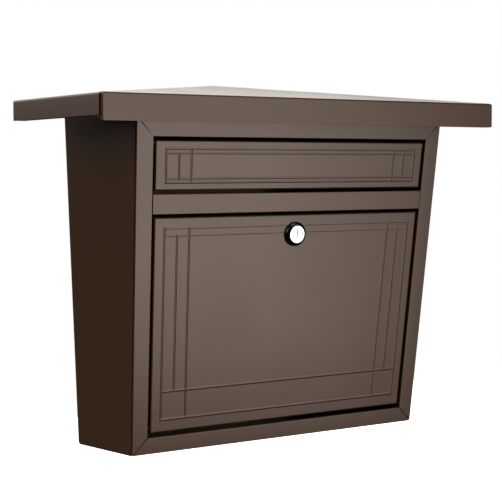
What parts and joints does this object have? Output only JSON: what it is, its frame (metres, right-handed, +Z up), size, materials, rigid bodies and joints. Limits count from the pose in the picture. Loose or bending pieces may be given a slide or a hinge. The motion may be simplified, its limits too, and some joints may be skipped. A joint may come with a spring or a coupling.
{
  "type": "wall mounted mailbox",
  "caption": "Wall mounted mailbox: tapered sheet steel case under a hipped roof, with an inward swinging mail flap and a locking drop-down access door.",
  "frame": {"origin": "middle of the raised flat field of the back panel, on the plane of the wall", "axes": "+X along the wall, towards the right as seen from the front; +Y into the wall; +Z up; the front faces -Y"},
  "size_m": [0.4254, 0.1664, 0.3337],
  "materials": {
    "bronze_powder_coat": "satin bronze brown powder coat",
    "chrome": "polished",
    "zinc_plated_steel": "zinc plated"
  },
  "bodies": {
    "case": {"back_panel": "bronze_powder_coat", "left_side_panel": "bronze_powder_coat", "right_side_panel": "bronze_powder_coat", "bottom_panel": "bronze_powder_coat", "top_panel": "bronze_powder_coat", "roof": "bronze_powder_coat", "roof_nut_front_left": "zinc_plated_steel", "roof_nut_front_right": "zinc_plated_steel", "roof_nut_rear_left": "zinc_plated_steel", "roof_nut_rear_right": "zinc_plated_steel", "left_stile": "bronze_powder_coat", "right_stile": "bronze_powder_coat", "top_rail": "bronze_powder_coat", "mid_rail": "bronze_powder_coat", "bottom_rail": "bronze_powder_coat", "door_stop_left": "bronze_powder_coat", "door_stop_right": "bronze_powder_coat", "baffle": "bronze_powder_coat", "door_rod": "zinc_plated_steel", "door_push_nut_left": "zinc_plated_steel", "door_push_nut_right": "zinc_plated_steel", "flap_rod": "zinc_plated_steel", "flap_push_nut_left": "zinc_plated_steel", "flap_push_nut_right": "zinc_plated_steel"},
    "door": {"access_door": "bronze_powder_coat", "lock_body": "chrome", "lock_nut": "zinc_plated_steel"},
    "flap": {"mail_flap": "bronze_powder_coat"},
    "lock": {"lock_plug": "chrome", "lock_cam": "zinc_plated_steel", "cam_screw": "zinc_plated_steel"}
  },
  "joints": [
    {"name": "door_hinge", "type": "hinge", "parent": "case", "child": "door", "pos_m": [0, -0.10739, -0.12698], "axis": [1, 0, 0], "range_deg": [0, 105]},
    {"name": "flap_hinge", "type": "hinge", "parent": "case", "child": "flap", "pos_m": [0, -0.13605, 0.12007], "axis": [1, 0, 0], "range_deg": [0, 75]},
    {"name": "lock_turn", "type": "hinge", "parent": "door", "child": "lock", "pos_m": [0.0026, -0.13165, 0.03886], "axis": [0, -0.994, -0.1092], "range_deg": [0, 90]}
  ]
}
